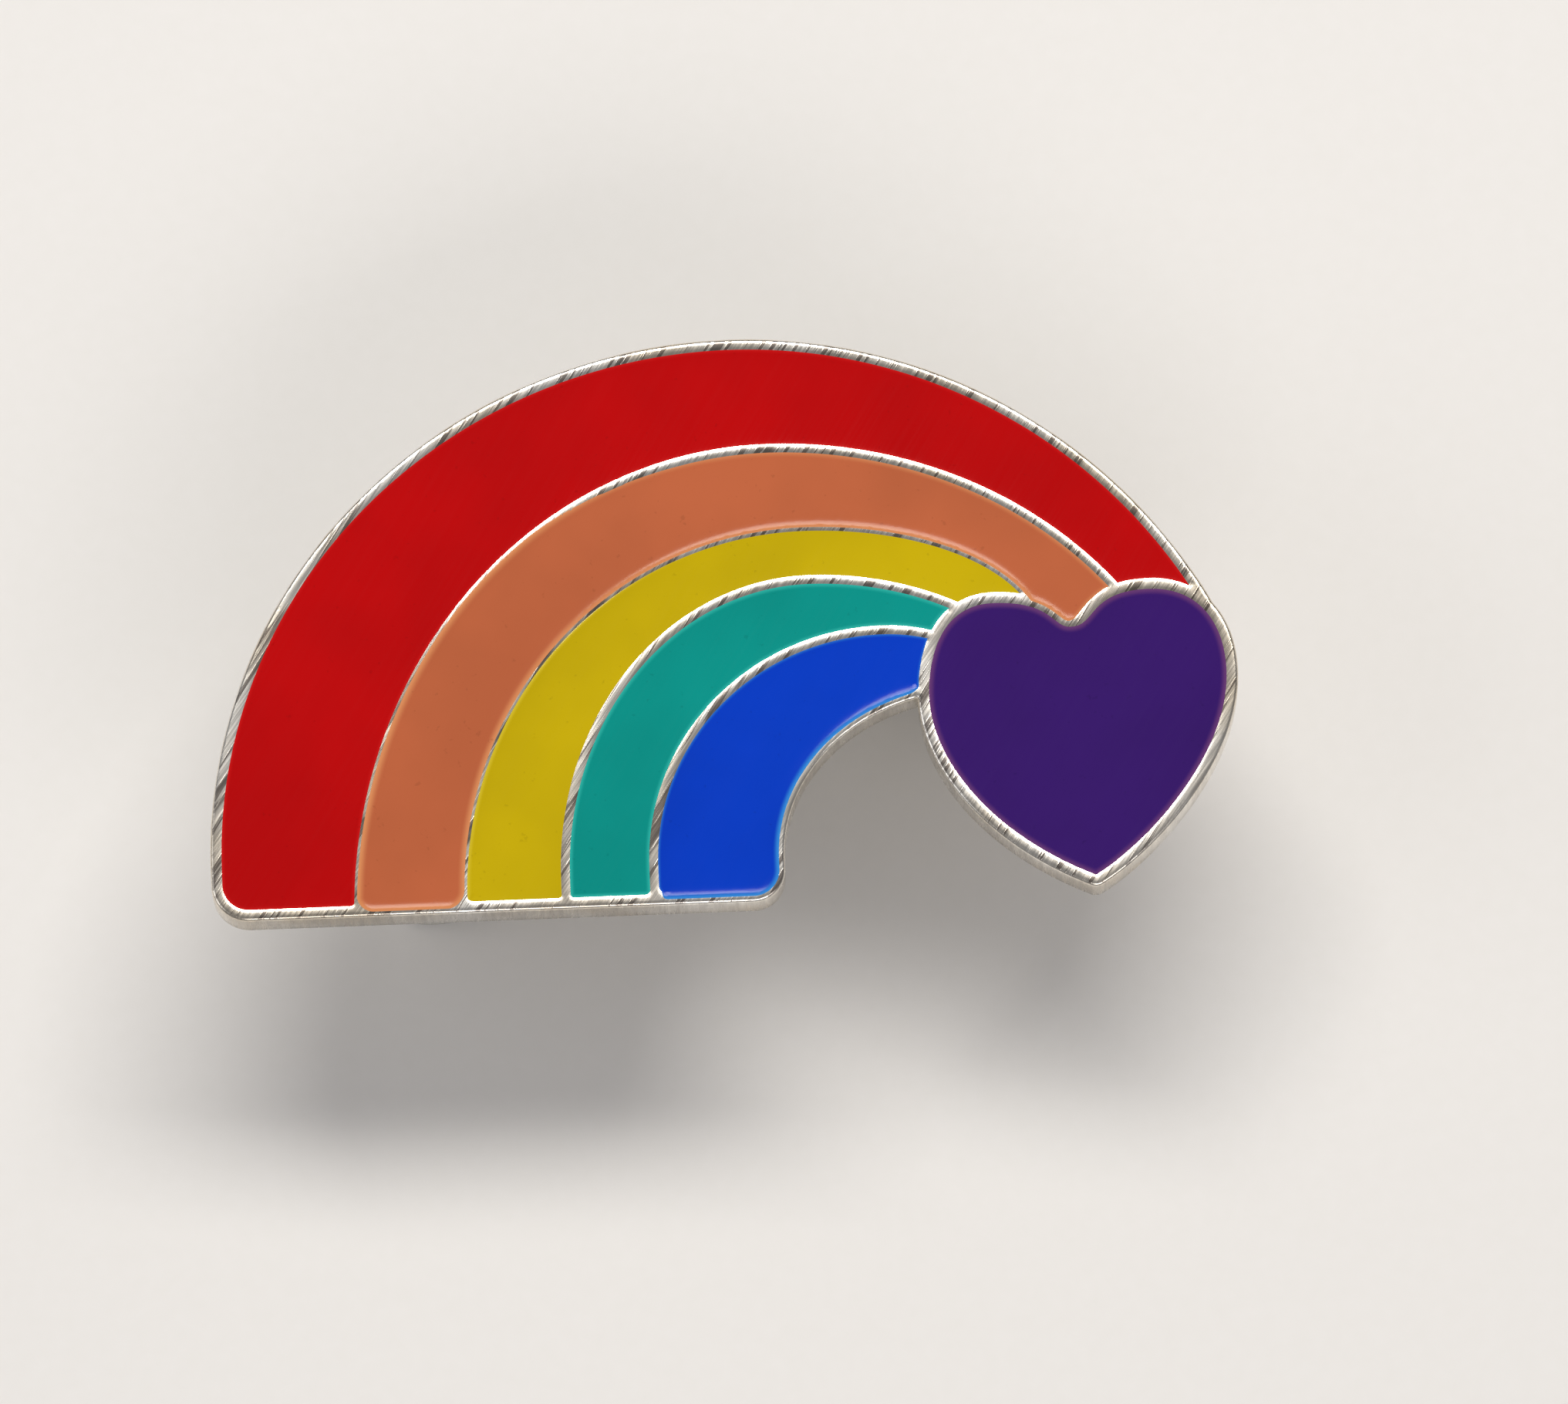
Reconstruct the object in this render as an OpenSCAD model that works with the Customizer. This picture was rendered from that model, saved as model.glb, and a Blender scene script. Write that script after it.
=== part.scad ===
// Rainbow and heart lapel pin in hard enamel, held on by two butterfly clutches.
// Origin: on the flat back of the badge, midway between its two posts.
// +X runs to the badge's right, +Y to its top, and +Z out of its enamelled face.

/* [Badge] */
// Thickness of the struck metal plate
plate_t = 1.5; // [1.2:0.1:2.5]
// Depth of the cells that hold the enamel
cell_depth = 0.5; // [0.3:0.05:0.7]
// Width of the raised metal lines between two colours
line_w = 0.26; // [0.2:0.02:0.34]
// Width of the metal rim around the bands
rim_w = 0.33; // [0.25:0.01:0.4]
// Width of the wall between the bands and the heart's enamel
heart_wall = 0.32; // [0.26:0.01:0.36]
// Width of the rim around the free side of the heart
heart_rim = 0.34; // [0.3:0.01:0.4]
// How far the heart's enamel reaches past its drawn curve
heart_grow = 0.08; // [0:0.01:0.1]
// Radius of the badge's outer left foot corner
foot_r_left = 1.1; // [0.6:0.1:1.4]
// Radius of the badge's inner right foot corner
foot_r_right = 0.95; // [0.6:0.05:1.2]

/* [Posts] */
// Each post's distance from the origin along X
post_x = 5.25; // [5:0.05:5.5]
// Each post's distance from the origin along Y
post_y = 2.5; // [2.2:0.1:2.8]
// Diameter of a post
post_d = 1.1; // [0.9:0.05:1.2]
// Length of a post below the badge's back
post_l = 6.5; // [6.3:0.05:6.6]
// Diameter of the flat pad that a post is brazed on by
pad_d = 2.4; // [2:0.1:2.8]

/* [Clutches] */
// Room left for cloth between the badge and a clutch
cloth_gap = 2.1; // [2.05:0.05:2.3]
// Diameter of a clutch's brim
brim_d = 9.5; // [9.2:0.1:9.8]
// Diameter of its crown
crown_d = 6.6; // [6.5:0.1:6.8]
// Height of a clutch, from its face to the top of its crown
clutch_h = 5; // [4.9:0.1:5.4]
// Width across the tips of both wings
wing_span = 12; // [11.4:0.1:12.4]
// Width of one wing
wing_w = 4.8; // [4.2:0.1:5]
// How far each wing is squeezed in to let go of the post
squeeze = 0.65; // [0.5:0.05:0.65]
// Direction of the left clutch's wings
left_angle = 50; // [40:5:60]
// Direction of the right clutch's wings
right_angle = -30; // [-35:5:-20]

/* [Hidden] */
$fn = 96;

// Each arch is two quarter ellipses that meet at its apex:
// [left foot x, left spring y, apex x, apex y, right foot x, right spring y, angle it stops at]
outer_arch = [-13.95, -7.4, 1.8, 7.9, 17.7, -8.35, 26];  // outer edge, which runs into the heart's rim
red_orange = [-9.65, -9.25, 2.8, 4.55, 15.55, -7.15, 25];    // the middle of each line between colours
orange_yellow = [-6.55, -8.65, 3.8, 2.15, 10.8, -1.5, 0];
yellow_teal = [-3.55, -8.1, 3.9, 0.55, 12.5, -6.65, 25];
teal_blue = [-0.95, -7.85, 6, -1.05, 10, -4, 0];
inner_arch = [2.9, -7.75, 8.5, -2.95, 14.35, -8.3, 25];      // inner edge of the badge
base_y = -9.05;       // the straight foot of the bands
below_y = -10;        // lower than any foot
hub = [12, -4.5];     // inside the heart, where all the bands end out of sight
arch_step = 3;

// The heart's outline, anticlockwise: [start, handle, handle] of each curve, ending at the next start
notch = [11.55, -1.25];
left_top = [9.3, -0.45];
left_side = [7.4, -3.1];
tip = [12, -8.55];
right_side = [16, -2.65];
right_top = [13.9, -0.2];
heart_curves = [
    [notch, notch - [0.6, 0], left_top + [1.75, 0]],
    [left_top, left_top - [1.7, 0], left_side + [0, 0.7]],
    [left_side, left_side - [0, 1.9], tip + [-2.95, 1.3]],
    [tip, tip + [1.45, 0.85], right_side - [0, 2.5]],
    [right_side, right_side + [0, 1.4], right_top + [1.4, 0]],
    [right_top, right_top - [1.8, 0], notch + [0.85, 0]]
];
tip_curve = 3;        // the curve that starts at the tip
curve_steps = 16;

post_at = [post_x, post_y];
post_r = post_d / 2;
pad_r = pad_d / 2;
pad_h = 0.3;
seat_r = 1.85;        // shallow round seat in the badge's back, which the solder fills
seat_depth = 0.1;
tip_r = 0.06;
groove_r = post_r - 0.13;

sheet = 0.35;         // thickness of the clutch's sheet metal
brim_r = brim_d / 2;
crown_r = crown_d / 2;
crown_round = 0.6;
lip_w = 0.63;         // how far the brim's rolled lip covers the face plate
lip_t = 0.23;
brim_top = 0.62;      // depth of the brim's sheet below the clutch's face
gap = 0.02;           // clearance between pieces of one clutch
funnel_r = 0.7;       // hole that guides the post in
wing_t = 0.4;
upper_z = 2.75;       // depth of the upper wing plate below the clutch's face
lower_z = upper_z + wing_t + 2 * gap;
neck_w = 3;           // width of a wing plate inside the crown
grip_r = post_r + 0.03;   // the edge of a wing's hole that holds the post
heel = 1.6;           // how far a wing plate reaches past the post
heel_round = 1.93;    // rounds the heel's corners clear of the spring's bend
slot_w = neck_w + 0.3;
bend_at = crown_r + squeeze + 0.25;   // where a wing starts to curl
bend_r = 1.6;
bend_angle = 55;
curl_steps = 10;
flare_at = crown_r + squeeze + 0.1;   // where a wing widens
wing_round = 3;
wire_r = 0.17;
spring_r = heel + wire_r + 0.03;      // the spring's half-width, bearing on both heels
spring_y = 0.9;

nickel = [0.78, 0.77, 0.74];

// ---- outlines ----

function unit(v) = v / norm(v);

// A point on an ellipse, moved outwards by d
function oval(c, rx, ry, t, d) =
    c + [rx * cos(t), ry * sin(t)] + d * unit([ry * cos(t), rx * sin(t)]);

// An arch moved outwards by d, from its left foot over its apex to where it stops
function arch(a, d) = concat(
    [[a[0] - d, below_y]],
    [for (t = [180 : -arch_step : 90]) oval([a[2], a[1]], a[2] - a[0], a[3] - a[1], t, d)],
    [for (t = [90 - arch_step : -arch_step : a[6]])
        oval([a[2], a[5]], a[4] - a[2], a[3] - a[5], t, d)]
);

// Where the left side of an arch stands at height y
function arch_x(a, d, y) = y <= a[1] ? a[0] - d :
    a[2] - (a[2] - a[0] + d) * sqrt(1 - pow((y - a[1]) / (a[3] - a[1] + d), 2));

// All that lies under an arch, as far right as x
module under(a, d, x) {
    polygon(concat(arch(a, d), [[x, hub[1]], [x, below_y]]));
}

// One cubic curve, moved to its right-hand side by d
function curve(p, q, d) = [for (i = [0 : curve_steps - 1])
    let (t = i / curve_steps, u = 1 - t,
         at = u * u * u * p[0] + 3 * u * u * t * p[1] + 3 * u * t * t * p[2] + t * t * t * q,
         along = unit(u * u * (p[1] - p[0]) + 2 * u * t * (p[2] - p[1]) + t * t * (q - p[2])))
    at + d * [along[1], -along[0]]];

// The round corner that an offset heart has at its tip
function tip_arc(d) =
    let (came = unit(tip - heart_curves[tip_curve - 1][2]),
         leaves = unit(heart_curves[tip_curve][1] - tip),
         from = atan2(-came[0], came[1]), to = atan2(-leaves[0], leaves[1]))
    [for (i = [0 : 5]) let (t = from + (to - from) * i / 6) tip + d * [cos(t), sin(t)]];

module heart(d) {
    n = len(heart_curves);
    polygon([for (i = [0 : n - 1])
        each concat(i == tip_curve && d > 0 ? tip_arc(d) : [],
                    curve(heart_curves[i], heart_curves[(i + 1) % n][0], d))]);
}

// What is cut off to round a foot corner at p. side is 1 on a left corner and -1 on a right one.
module corner_cut(p, r, side) {
    slack = 0.4;
    difference() {
        translate([side > 0 ? p[0] - slack : p[0] - r, p[1] - slack])
            square([r + slack, r + slack]);
        translate([p[0] + side * r, p[1] + r]) circle(r);
    }
}

// The badge without its heart
module bands_outline() {
    difference() {
        under(outer_arch, 0, hub[0]);
        under(inner_arch, 0, hub[0] + 0.5);
        translate([outer_arch[0] - 1, below_y - 1])
            square([2 * hub[0] + 8, base_y - below_y + 1]);
        corner_cut([outer_arch[0], base_y], foot_r_left, 1);
        corner_cut([arch_x(inner_arch, 0, base_y), base_y], foot_r_right, -1);
    }
}

// The cell between two arches. r_out and r_in round its two foot corners.
module band_cell(outer, d_out, inner, d_in, r_out, r_in) {
    foot = base_y + rim_w;
    difference() {
        under(outer, d_out, hub[0]);
        under(inner, d_in, hub[0] + 0.5);
        translate([outer_arch[0] - 1, below_y - 1]) square([2 * hub[0] + 8, foot - below_y + 1]);
        heart(heart_grow + heart_wall);
        corner_cut([arch_x(outer, d_out, foot), foot], r_out, 1);
        corner_cut([arch_x(inner, d_in, foot), foot], r_in, -1);
    }
}

half = line_w / 2;
module red_cell() band_cell(outer_arch, -rim_w, red_orange, half, foot_r_left - rim_w, 0.1);
module orange_cell() band_cell(red_orange, -half, orange_yellow, half, 0.3, 0.35);
module yellow_cell() band_cell(orange_yellow, -half, yellow_teal, half, 0.15, 0.1);
module teal_cell() band_cell(yellow_teal, -half, teal_blue, half, 0.1, 0.15);
module blue_cell() band_cell(teal_blue, -half, inner_arch, rim_w, 0.25, foot_r_right - rim_w);

// ---- badge ----

module fill(colour) {
    color(colour) translate([0, 0, plate_t - cell_depth]) linear_extrude(cell_depth) children();
}

module at_posts() {
    for (side = [-1, 1]) translate(side * post_at) children();
}

module badge_plate() {
    color(nickel) difference() {
        union() {
            linear_extrude(plate_t) bands_outline();
            linear_extrude(plate_t) heart(heart_grow + heart_rim);
        }
        translate([0, 0, plate_t - cell_depth]) linear_extrude(cell_depth + 1) {
            red_cell();
            orange_cell();
            yellow_cell();
            teal_cell();
            blue_cell();
            heart(heart_grow);
        }
        at_posts() translate([0, 0, -1]) cylinder(r = seat_r, h = 1 + seat_depth);
    }
}

module enamel_red() { fill([0.73, 0.02, 0.03]) red_cell(); }
module enamel_orange() { fill([0.74, 0.39, 0.25]) orange_cell(); }
module enamel_yellow() { fill([0.75, 0.66, 0.04]) yellow_cell(); }
module enamel_teal() { fill([0.05, 0.56, 0.53]) teal_cell(); }
module enamel_blue() { fill([0.02, 0.24, 0.76]) blue_cell(); }
module enamel_purple() { fill([0.23, 0.12, 0.42]) heart(heart_grow); }

// ---- posts ----

module post() {
    groove_from = cloth_gap + upper_z - 0.2;
    groove_to = cloth_gap + upper_z + wing_t + 0.2;
    shoulder = groove_to + 0.1;
    color("gainsboro") rotate_extrude() polygon([
        [0, seat_depth], [pad_r, seat_depth], [pad_r, -pad_h], [post_r, -pad_h - 0.12],
        [post_r, -groove_from], [groove_r, -groove_from - 0.12], [groove_r, -groove_to + 0.12],
        [post_r, -groove_to], [post_r, -shoulder], [tip_r, -post_l], [0, -post_l]
    ]);
}

// A ring of braze that fills the seat and rises up the pad in a hollow curve
module solder() {
    w = seat_r - pad_r;
    h = seat_depth + 0.2;
    color("silver") rotate_extrude() polygon(concat(
        [[pad_r, seat_depth]],
        [for (t = [0 : 15 : 90]) [seat_r - w * sin(t), seat_depth - h * (1 - cos(t))]]
    ));
}

module post_left() { translate(-post_at) post(); }
module post_right() { translate(post_at) post(); }
module solder_left() { translate(-post_at) solder(); }
module solder_right() { translate(post_at) solder(); }

// ---- clutches ----
// A clutch is drawn with z as the depth below its face, and its wings along X.

module place(side) {
    translate([side * post_x, side * post_y, -cloth_gap])
        rotate([0, 0, side < 0 ? left_angle : right_angle]) mirror([0, 0, 1]) children();
}

// The pressed cover: a rolled lip and brim, and a drum-shaped crown with a slot for the wings
module shell() {
    r_in = crown_r - sheet;
    r_core = crown_r - crown_round;
    rim_in = brim_r - sheet + gap;
    color(nickel) difference() {
        rotate_extrude() {
            translate([r_in, brim_top]) square([brim_r - r_in, sheet]);
            translate([rim_in, sheet / 2]) square([brim_r - rim_in, brim_top]);
            translate([brim_r - lip_w, 0]) square([lip_w - sheet / 2, lip_t]);
            translate([brim_r - sheet / 2, sheet / 2]) circle(sheet / 2);
            translate([0, clutch_h - sheet]) square([r_core, sheet]);
            translate([r_in, brim_top]) square([sheet, clutch_h - crown_round - brim_top]);
            intersection() {
                translate([r_core, clutch_h - crown_round]) difference() {
                    circle(crown_round);
                    circle(crown_round - sheet);
                }
                translate([r_core, clutch_h - crown_round]) square(crown_round);
            }
        }
        translate([-crown_r - 1, -slot_w / 2, upper_z - 2 * gap])
            cube([crown_d + 2, slot_w, 2 * wing_t + 6 * gap]);
    }
}

// The plate that lies against the cloth, stepped under the lip, with a funnel for the post
module face_plate() {
    r_edge = brim_r - sheet;
    r_flat = brim_r - lip_w - 0.12;
    step_z = lip_t + gap;
    color(nickel) rotate_extrude() polygon([
        [1.5, 0], [r_flat, 0], [r_flat + 0.1, step_z], [r_edge, step_z],
        [r_edge, brim_top - gap], [r_flat - 0.15, brim_top - gap], [r_flat - 0.25, sheet],
        [1.7, sheet], [funnel_r + 0.3, 1.1], [funnel_r, 1.1]
    ]);
}

// A row of points along the curl of a wing plate, at radius r
function curl(r) = [for (i = [0 : curl_steps]) let (t = bend_angle * i / curl_steps)
    [bend_at + r * sin(t), bend_r + wing_t - r * cos(t)]];

// The side view of a wing plate: flat through the crown, then curled away from the cloth
module wing_side() {
    near = curl(bend_r + wing_t);
    far = curl(bend_r);
    flare = (wing_span / 2 - bend_at) * [cos(bend_angle), sin(bend_angle)];
    polygon(concat(
        [[-heel, 0]], near, [near[curl_steps] + flare, far[curl_steps] + flare],
        [for (i = [curl_steps : -1 : 0]) far[i]], [[-heel, wing_t]]
    ));
}

// The same plate from above: neck, rounded finger wing, and the slot that grips the post
module wing_top() {
    out = wing_span / 2;
    difference() {
        union() {
            translate([0, -neck_w / 2]) square([flare_at + 0.2, neck_w]);
            intersection() {
                translate([-heel, -neck_w / 2]) square([heel + 0.5, neck_w]);
                circle(heel_round);
            }
            intersection() {
                translate([out - wing_round, 0]) circle(wing_round);
                translate([flare_at, -wing_w / 2]) square([out, wing_w]);
            }
        }
        circle(grip_r);
        translate([squeeze, 0]) circle(grip_r);
        translate([0, -grip_r]) square([squeeze, 2 * grip_r]);
    }
}

module wing() {
    color("lightgrey") intersection() {
        rotate([90, 0, 0]) translate([0, 0, -wing_w]) linear_extrude(2 * wing_w) wing_side();
        translate([0, 0, -1]) linear_extrude(5) wing_top();
    }
}

// A bent wire whose two arms bear inwards on the heels of the wing plates
module spring() {
    arm = 2;
    tilt = asin((lower_z - upper_z) / (2 * spring_r));
    color("dimgray") translate([0, 0, (upper_z + lower_z + wing_t) / 2]) rotate([0, -tilt, 0]) {
        translate([0, spring_y, 0]) rotate_extrude(angle = 180)
            translate([spring_r, 0]) circle(wire_r);
        for (side = [-1, 1]) translate([side * spring_r, spring_y, 0])
            rotate([90, 0, 0]) cylinder(r = wire_r, h = arm);
    }
}

// The upper wing points along +X and the lower one along -X
module wing_pair(side, upper) {
    place(side) translate([0, 0, upper ? upper_z : lower_z]) rotate([0, 0, upper ? 0 : 180]) wing();
}

module clutch_left_shell() { place(-1) shell(); }
module clutch_left_face() { place(-1) face_plate(); }
module clutch_left_wing_upper() { wing_pair(-1, true); }
module clutch_left_wing_lower() { wing_pair(-1, false); }
module clutch_left_spring() { place(-1) spring(); }
module clutch_right_shell() { place(1) shell(); }
module clutch_right_face() { place(1) face_plate(); }
module clutch_right_wing_upper() { wing_pair(1, true); }
module clutch_right_wing_lower() { wing_pair(1, false); }
module clutch_right_spring() { place(1) spring(); }

badge_plate();
enamel_red();
enamel_orange();
enamel_yellow();
enamel_teal();
enamel_blue();
enamel_purple();
post_left();
post_right();
solder_left();
solder_right();
clutch_left_shell();
clutch_left_face();
clutch_left_wing_upper();
clutch_left_wing_lower();
clutch_left_spring();
clutch_right_shell();
clutch_right_face();
clutch_right_wing_upper();
clutch_right_wing_lower();
clutch_right_spring();
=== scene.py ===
"""Looks of the rainbow and heart enamel pin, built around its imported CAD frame."""
import math

import bmesh
import bpy
import numpy as np
from mathutils import Matrix, Vector
from mathutils.geometry import delaunay_2d_cdt
from mathutils.kdtree import KDTree


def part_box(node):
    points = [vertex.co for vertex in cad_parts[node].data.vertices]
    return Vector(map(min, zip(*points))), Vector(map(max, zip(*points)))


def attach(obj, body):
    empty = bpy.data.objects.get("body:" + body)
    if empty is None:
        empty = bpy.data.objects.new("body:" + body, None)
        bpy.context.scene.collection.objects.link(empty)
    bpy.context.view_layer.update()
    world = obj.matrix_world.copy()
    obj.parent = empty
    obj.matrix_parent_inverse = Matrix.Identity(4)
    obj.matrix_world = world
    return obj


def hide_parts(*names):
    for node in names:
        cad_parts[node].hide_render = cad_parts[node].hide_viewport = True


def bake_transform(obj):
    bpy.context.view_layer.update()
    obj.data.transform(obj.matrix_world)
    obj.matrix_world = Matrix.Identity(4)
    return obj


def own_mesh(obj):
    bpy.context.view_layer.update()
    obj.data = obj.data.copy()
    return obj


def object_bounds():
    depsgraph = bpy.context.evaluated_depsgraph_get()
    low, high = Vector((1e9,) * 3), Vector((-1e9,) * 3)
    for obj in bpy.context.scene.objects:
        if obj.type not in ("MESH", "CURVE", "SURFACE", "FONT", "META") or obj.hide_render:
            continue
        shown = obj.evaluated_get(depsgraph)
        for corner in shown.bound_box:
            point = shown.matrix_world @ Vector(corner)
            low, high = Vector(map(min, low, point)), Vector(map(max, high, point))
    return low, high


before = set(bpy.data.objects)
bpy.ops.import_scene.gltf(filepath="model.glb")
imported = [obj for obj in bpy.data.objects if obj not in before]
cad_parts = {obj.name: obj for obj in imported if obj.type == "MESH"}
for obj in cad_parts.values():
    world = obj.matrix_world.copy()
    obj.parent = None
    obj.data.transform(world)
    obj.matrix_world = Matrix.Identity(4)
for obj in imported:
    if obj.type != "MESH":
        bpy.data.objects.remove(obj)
cad_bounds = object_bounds()
MM = 0.001
scene = bpy.context.scene

# ---- outlines, in mm, read from the CAD nodes' flat faces ----


def cap_loops(node, z):
    """The closed outlines of a CAD node's flat face at height z, each anticlockwise, longest first."""
    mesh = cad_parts[node].data
    follows = {}
    for face in mesh.polygons:
        corners = [mesh.vertices[i].co / MM for i in face.vertices]
        if any(abs(c.z - z) > 1e-3 for c in corners):
            continue
        keys = [(round(c.x * 1e4), round(c.y * 1e4)) for c in corners]
        for a, b in zip(keys, keys[1:] + keys[:1]):
            if a in follows.get(b, ()):
                follows[b].remove(a)
            elif a != b:
                follows.setdefault(a, []).append(b)
    loops = []
    follows = {a: bs for a, bs in follows.items() if bs}
    while follows:
        at = next(iter(follows))
        loop = []
        while at in follows:
            loop.append(at)
            nexts = follows[at]
            step = nexts.pop()
            if not nexts:
                del follows[at]
            at = step
        points = np.array(loop) * 1e-4
        if area(points) < 0:
            points = points[::-1]
        loops.append(points)
    return sorted(loops, key=length, reverse=True)


def area(loop):
    x, y = loop.T
    return 0.5 * float(np.sum(x * np.roll(y, -1) - y * np.roll(x, -1)))


def length(loop):
    return float(np.linalg.norm(np.roll(loop, -1, 0) - loop, axis=1).sum())


def unit(v):
    return v / max(float(np.linalg.norm(v)), 1e-12)


CORNER = math.radians(24)   # an outline that turns by more than this at a point has a corner there
STRAIGHT = 1.5              # a chord longer than this many mm is a straight edge


def smooth_loop(loop, step):
    """The loop as a smooth curve with a point about every step mm. Its sharp corners stay sharp."""
    n = len(loop)
    chord = np.roll(loop, -1, 0) - loop
    size = np.linalg.norm(chord, axis=1)
    way = chord / size[:, None]
    leave, arrive = [None] * n, [None] * n
    for i in range(n):
        before, after = way[i - 1], way[i]
        turn = math.acos(max(-1.0, min(1.0, float(before @ after))))
        if turn > CORNER:
            continue
        if size[i - 1] > 3 * size[i]:
            t = before
        elif size[i] > 3 * size[i - 1]:
            t = after
        else:
            t = unit(before * size[i] + after * size[i - 1])
        leave[i] = arrive[i] = t
    out = []
    for i in range(n):
        j = (i + 1) % n
        d = way[i]
        t0, t1 = leave[i], arrive[j]
        if t0 is None:
            t0 = d if t1 is None else 2 * (d @ t1) * d - t1
        if t1 is None:
            t1 = 2 * (d @ t0) * d - t0
        if size[i] > STRAIGHT:
            t0 = t1 = d
        count = max(1, round(size[i] / step))
        for k in range(count):
            s = k / count
            h = (2 * s**3 - 3 * s * s + 1, s**3 - 2 * s * s + s, 3 * s * s - 2 * s**3, s**3 - s * s)
            out.append(h[0] * loop[i] + h[1] * size[i] * t0 + h[2] * loop[j] + h[3] * size[i] * t1)
    return np.array(out)


def normals(loop):
    """The outward normal at each point of an anticlockwise loop."""
    along = np.roll(loop, -1, 0) - np.roll(loop, 1, 0)
    along /= np.linalg.norm(along, axis=1)[:, None]
    return np.column_stack([along[:, 1], -along[:, 0]])


def tree_of_points(points):
    tree = KDTree(len(points))
    for i, p in enumerate(points):
        tree.insert((p[0], p[1], 0), i)
    tree.balance()
    return tree


def tree_of(loops, step=0.02):
    """A search tree of points on the loops, about step mm apart."""
    return tree_of_points(np.vstack([smooth_loop(l, step) for l in loops]))


def distance(tree, points):
    return np.array([tree.find((p[0], p[1], 0))[2] for p in points])


def inside(points, loops):
    """Whether each point is inside an odd number of the loops."""
    odd = np.zeros(len(points), bool)
    for loop in loops:
        a, b = loop, np.roll(loop, -1, 0)
        for start in range(0, len(points), 4000):
            p = points[start:start + 4000]
            crosses = (a[:, 1] > p[:, 1, None]) != (b[:, 1] > p[:, 1, None])
            rise = np.where(b[:, 1] == a[:, 1], 1, b[:, 1] - a[:, 1])
            x = a[:, 0] + (p[:, 1, None] - a[:, 1]) * (b[:, 0] - a[:, 0]) / rise
            odd[start:start + 4000] ^= (crosses & (p[:, 0, None] < x)).sum(1) % 2 == 1
    return odd


# ---- meshes ----


class Build:
    """A mesh under construction, in mm."""

    def __init__(self):
        self.points, self.faces = [], []

    def ring(self, flat, z):
        """Adds points at height z, which is one number or one for each, and gives their numbers."""
        z = np.broadcast_to(z, len(flat))
        start = len(self.points)
        self.points += [(p[0], p[1], h) for p, h in zip(flat, z)]
        return list(range(start, len(self.points)))

    def bridge(self, low, high):
        n = len(low)
        self.faces += [(low[i], low[(i + 1) % n], high[(i + 1) % n], high[i]) for i in range(n)]

    def sheet(self, rings, inner=(), height=0):
        """Fills the area between closed rings with triangles that also use the inner points."""
        ids = [i for ring in rings for i in ring]
        flat = [Vector(self.points[i][:2]) for i in ids]
        edges, at = [], 0
        for ring in rings:
            edges += [(at + k, at + (k + 1) % len(ring)) for k in range(len(ring))]
            at += len(ring)
        loops = [np.array([self.points[i][:2] for i in ring]) for ring in rings]
        if len(inner):
            ids += self.ring(inner, height)
            flat += [Vector(p) for p in inner]
        verts, _, faces, origin, _, _ = delaunay_2d_cdt(flat, edges, [], 0, 1e-7, True)
        middles = np.array([sum((verts[i] for i in f), Vector((0, 0))) / 3 for f in faces])
        for face, keep in zip(faces, inside(middles, loops)):
            if keep and all(origin[i] for i in face):
                self.faces.append(tuple(ids[origin[i][0]] for i in face))

    def piece(self, name, body, node, slot, sharp=32, attribute=None):
        mesh = bpy.data.meshes.new(name)
        mesh.from_pydata([(x * MM, y * MM, z * MM) for x, y, z in self.points], [], self.faces)
        if attribute is not None:
            data = mesh.attributes.new("edge_mm", "FLOAT", "POINT").data
            data.foreach_set("value", np.asarray(attribute, np.float32))
        return settle(mesh, name, body, node, sharp)


def settle(mesh, name, body, node, sharp=32):
    """Cleans a new mesh, and makes it a piece in place of a CAD node. It rides on body, if that is given."""
    bm = bmesh.new()
    bm.from_mesh(mesh)
    bmesh.ops.remove_doubles(bm, verts=bm.verts, dist=1e-7)
    loose = [v for v in bm.verts if not v.link_faces]
    bmesh.ops.delete(bm, geom=loose, context="VERTS")
    bmesh.ops.recalc_face_normals(bm, faces=bm.faces)
    bm.to_mesh(mesh)
    bm.free()
    mesh.shade_smooth()
    mesh.set_sharp_from_angle(angle=math.radians(sharp))
    obj = bpy.data.objects.new(name, mesh)
    scene.collection.objects.link(obj)
    if body:
        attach(obj, body)
    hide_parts(node)
    return obj


# ---- the badge: plate and enamel ----

# Each enamel's body and the lighter colour of its edge, as sRGB of 255, and how wide that edge is in mm. The
# edge colour is a painted highlight round the cell's walls; where the enamel runs over the metal it also
# stands for the thin enamel there
ENAMEL = {
    "red": ((180, 2, 4), (194, 16, 16), 0.12),
    "orange": ((185, 98, 62), (216, 142, 92), 0.26),
    "yellow": ((193, 168, 4), (206, 184, 40), 0.14),
    "teal": ((4, 142, 133), (40, 172, 160), 0.14),
    "blue": ((2, 57, 188), (52, 140, 216), 0.2),
    "purple": ((53, 22, 102), (100, 56, 112), 0.2),
}
face_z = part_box("badge_plate")[1].z / MM
floor_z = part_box("enamel_red")[0].z / MM
STEP = 0.09         # between the points of an outline
APART = 0.035       # two inner points closer than about this are one
OWN = 0.93          # a point nearer than this share of its depth is beside another edge too
ROW = 0.866         # the rows of a triangular grid, as a share of its pitch
CROWN = 0.016       # how far the polished lines stand proud in the middle
HALF_LINE = 0.13    # half the width of a metal line
EDGE_R = 0.11       # rounding of the badge's outer edge
BACK_EDGE = ((0, 0.16), (0.015, 0.09), (0.05, 0.035), (0.11, 0))    # (inset, height) round the back
ARCH_CENTRE = np.array([4.0, -9.0])
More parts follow.
